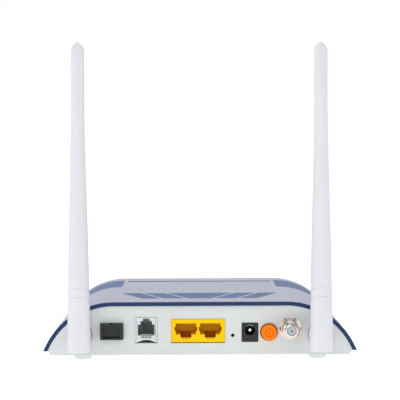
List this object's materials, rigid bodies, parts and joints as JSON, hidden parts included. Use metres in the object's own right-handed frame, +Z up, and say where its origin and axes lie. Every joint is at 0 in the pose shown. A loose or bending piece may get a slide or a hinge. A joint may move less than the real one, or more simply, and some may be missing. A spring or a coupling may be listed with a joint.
{
  "type": "optical network terminal",
  "caption": "Arched plastic optical network terminal with rear sockets, push button, vented cover, indicator strip, internal circuit board and hinged aerials.",
  "frame": {"origin": "on the resting plane, under the middle of the whole object's box with the aerials upright", "axes": "+Z up, -Y out of the connector panel, +X to the right when facing the connector panel"},
  "size_m": [0.1812, 0.1386, 0.1822],
  "materials": {
    "panel_white": "fine moulded texture, slightly cool white",
    "cover_navy": "navy shell with a satin silver-lavender coat",
    "screw_steel": "plated steel",
    "foot_clear": "translucent pale elastomer",
    "label_film": "blank satin film",
    "guide_clear": "clear acrylic, frosted top",
    "led_white": "small indicator package",
    "board_green": "solder mask",
    "shield_tin": "tin plate",
    "chip_black": "moulded epoxy",
    "heat_sink_aluminium": "extruded, anodised",
    "capacitor_can": "sleeved can",
    "ferrite_grey": "sintered ferrite",
    "adapter_green": "moulded green",
    "socket_white": "moulded white",
    "cap_black": "soft moulded black",
    "fibre_jacket": "smooth fibre jacket",
    "phone_grey": "pale grey socket",
    "contact_gold": "gold flash over nickel",
    "socket_yellow": "bright yellow socket",
    "jack_black": "moulded black",
    "contact_nickel": "nickel plate",
    "button_orange": "bright orange, satin",
    "coax_nickel": "nickel-plated brass",
    "dielectric_white": "pale dielectric",
    "aerial_white": "smooth satin, lavender white",
    "radiator_brass": "drawn tube",
    "lead_black": "thin coaxial jacket"
  },
  "bodies": {
    "case": {"aerial_lead_left": "lead_black", "aerial_lead_right": "lead_black", "board_screws": "screw_steel", "bottom_case": "panel_white", "capacitors": "capacitor_can", "case_screws": "screw_steel", "catv_shield_can": "shield_tin", "coax_socket_body": "coax_nickel", "coax_socket_contact": "contact_gold", "coax_socket_dielectric": "dielectric_white", "coax_socket_nut": "coax_nickel", "feet": "foot_clear", "fibre_clips": "socket_white", "fibre_pigtail": "fibre_jacket", "fibre_plug": "adapter_green", "flash_chip": "chip_black", "heat_sink": "heat_sink_aluminium", "indicator_leds": "led_white", "light_guide": "guide_clear", "main_board": "board_green", "main_processor": "chip_black", "memory_chips": "chip_black", "network_socket_contacts": "contact_gold", "network_socket_housing": "socket_yellow", "network_transformer": "chip_black", "optical_module": "shield_tin", "phone_socket_contacts": "contact_nickel", "phone_socket_housing": "phone_grey", "power_inductors": "ferrite_grey", "power_jack_housing": "jack_black", "power_jack_pin": "contact_nickel", "power_jack_spring": "contact_nickel", "power_switch": "jack_black", "rating_label": "label_film", "reset_switch": "jack_black", "sc_adapter": "adapter_green", "sc_ferrule_sleeve": "socket_white", "telephone_line_chip": "chip_black", "top_cover": "cover_navy", "wifi_shield_can": "shield_tin"},
    "swivel_left": {"aerial_knuckle_left": "aerial_white", "aerial_retaining_ring_left": "screw_steel"},
    "swivel_right": {"aerial_knuckle_right": "aerial_white", "aerial_retaining_ring_right": "screw_steel"},
    "aerial_left": {"aerial_hinge_housing_left": "aerial_white", "aerial_collar_left": "aerial_white", "aerial_band_left": "aerial_white", "aerial_sleeve_left": "aerial_white", "aerial_radiator_left": "radiator_brass", "aerial_hinge_pin_left": "screw_steel"},
    "aerial_right": {"aerial_hinge_housing_right": "aerial_white", "aerial_collar_right": "aerial_white", "aerial_band_right": "aerial_white", "aerial_sleeve_right": "aerial_white", "aerial_radiator_right": "radiator_brass", "aerial_hinge_pin_right": "screw_steel"},
    "power_button": {"power_button": "button_orange"},
    "reset_plunger": {"reset_plunger": "cap_black"},
    "dust_cap": {"sc_dust_cap": "cap_black"}
  },
  "joints": [
    {"name": "aerial_swivel_left", "type": "hinge", "parent": "case", "child": "swivel_left", "pos_m": [-0.0687, -0.05217, 0.0152], "axis": [0, 1, 0], "range_deg": [-90, 30]},
    {"name": "aerial_tilt_left", "type": "hinge", "parent": "swivel_left", "child": "aerial_left", "pos_m": [-0.0687, -0.06267, 0.0152], "axis": [1, 0, 0], "range_deg": [0, 90]},
    {"name": "aerial_swivel_right", "type": "hinge", "parent": "case", "child": "swivel_right", "pos_m": [0.0687, -0.05217, 0.0152], "axis": [0, 1, 0], "range_deg": [-30, 90]},
    {"name": "aerial_tilt_right", "type": "hinge", "parent": "swivel_right", "child": "aerial_right", "pos_m": [0.0687, -0.06267, 0.0152], "axis": [1, 0, 0], "range_deg": [0, 90]},
    {"name": "power_button_push", "type": "slide", "parent": "case", "child": "power_button", "axis": [0, 1, 0], "range_m": [0, 0.0016], "stiffness_N_per_m": 1200},
    {"name": "reset_push", "type": "slide", "parent": "case", "child": "reset_plunger", "axis": [0, 1, 0], "range_m": [0, 0.00025], "stiffness_N_per_m": 2500},
    {"name": "dust_cap_pull", "type": "slide", "parent": "case", "child": "dust_cap", "axis": [0, -1, 0], "range_m": [0, 0.018]}
  ]
}
